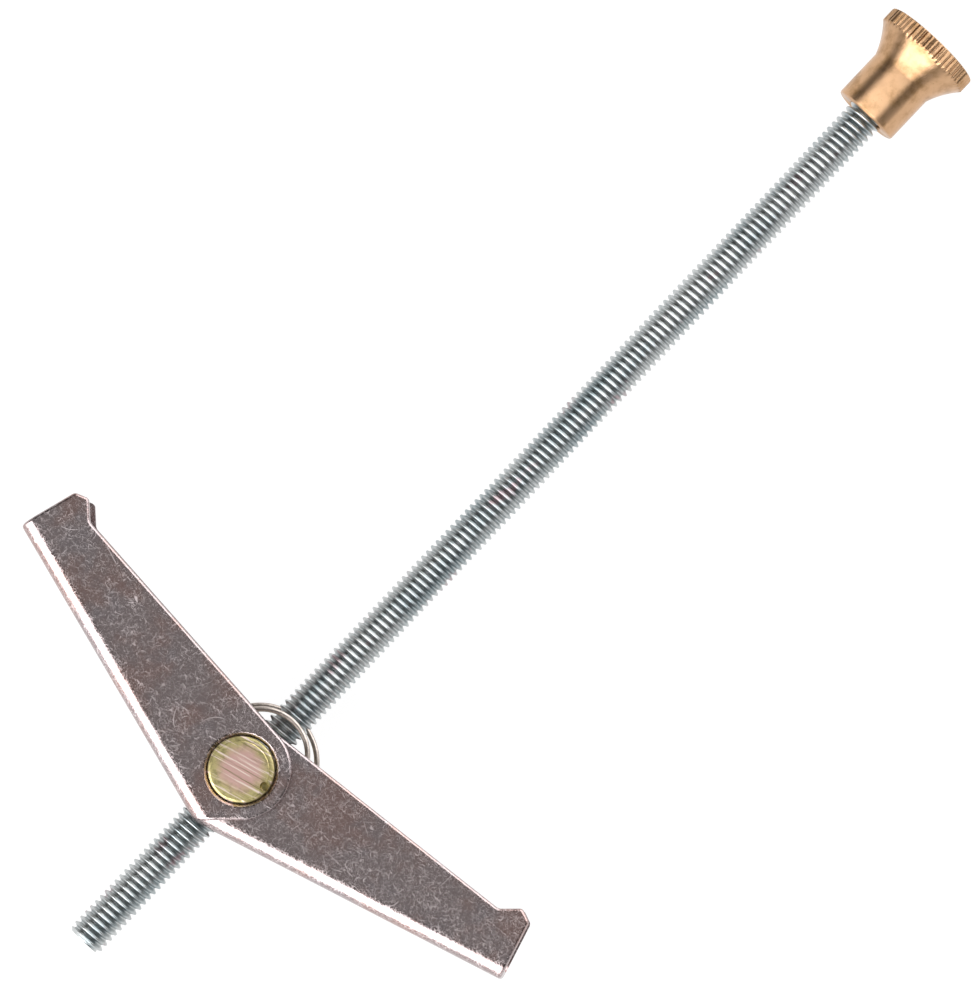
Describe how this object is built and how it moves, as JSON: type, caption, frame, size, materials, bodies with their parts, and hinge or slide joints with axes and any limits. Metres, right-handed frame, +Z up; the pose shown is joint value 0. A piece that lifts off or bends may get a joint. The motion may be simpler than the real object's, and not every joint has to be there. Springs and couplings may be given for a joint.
{
  "type": "spring toggle bolt",
  "caption": "Spring toggle bolt: threaded rod with a knurled brass nut at one end and two spring-opened folding wings on a cross pin near the other.",
  "frame": {"origin": "middle of the floor under the object as it lies on its side, with the rod level", "axes": "+Y along the rod towards the knurled nut, +X towards the right wing, +Z up along the cross pin"},
  "size_m": [0.0652, 0.1226, 0.0106],
  "materials": {
    "bright_zinc": "bright blue-white zinc plate on rolled steel thread",
    "brass": "satin turned brass",
    "yellow_zinc": "yellow passivated zinc, rubbed pink in the middle, scratched",
    "dull_zinc": "zinc plate, finely scratched all over, bright on the bends and edges",
    "spring_wire": "drawn spring wire, satin"
  },
  "bodies": {
    "rod": {"threaded_rod": "bright_zinc"},
    "toggle": {"cross_pin": "yellow_zinc", "spring": "spring_wire"},
    "wing_left": {"wing_left": "dull_zinc"},
    "wing_right": {"wing_right": "dull_zinc"},
    "nut": {"knurled_nut": "brass"}
  },
  "joints": [
    {"name": "toggle_travel", "type": "slide", "parent": "rod", "child": "toggle", "axis": [0, 1, 0], "range_m": [-0.016, 0.025]},
    {"name": "wing_left_fold", "type": "hinge", "parent": "toggle", "child": "wing_left", "pos_m": [0, -0.0383, 0.0053], "axis": [0, 0, -1], "range_deg": [0, 77], "stiffness_Nm_per_rad": 0.01, "springref_deg": -28.65, "deforming": ["spring"]},
    {"name": "wing_right_fold", "type": "hinge", "parent": "toggle", "child": "wing_right", "pos_m": [0, -0.0383, 0.0053], "axis": [0, 0, 1], "range_deg": [0, 77], "stiffness_Nm_per_rad": 0.01, "springref_deg": -28.65, "deforming": ["spring"]},
    {"name": "nut_travel", "type": "slide", "parent": "rod", "child": "nut", "axis": [0, -1, 0], "range_m": [0, 0.03]}
  ]
}
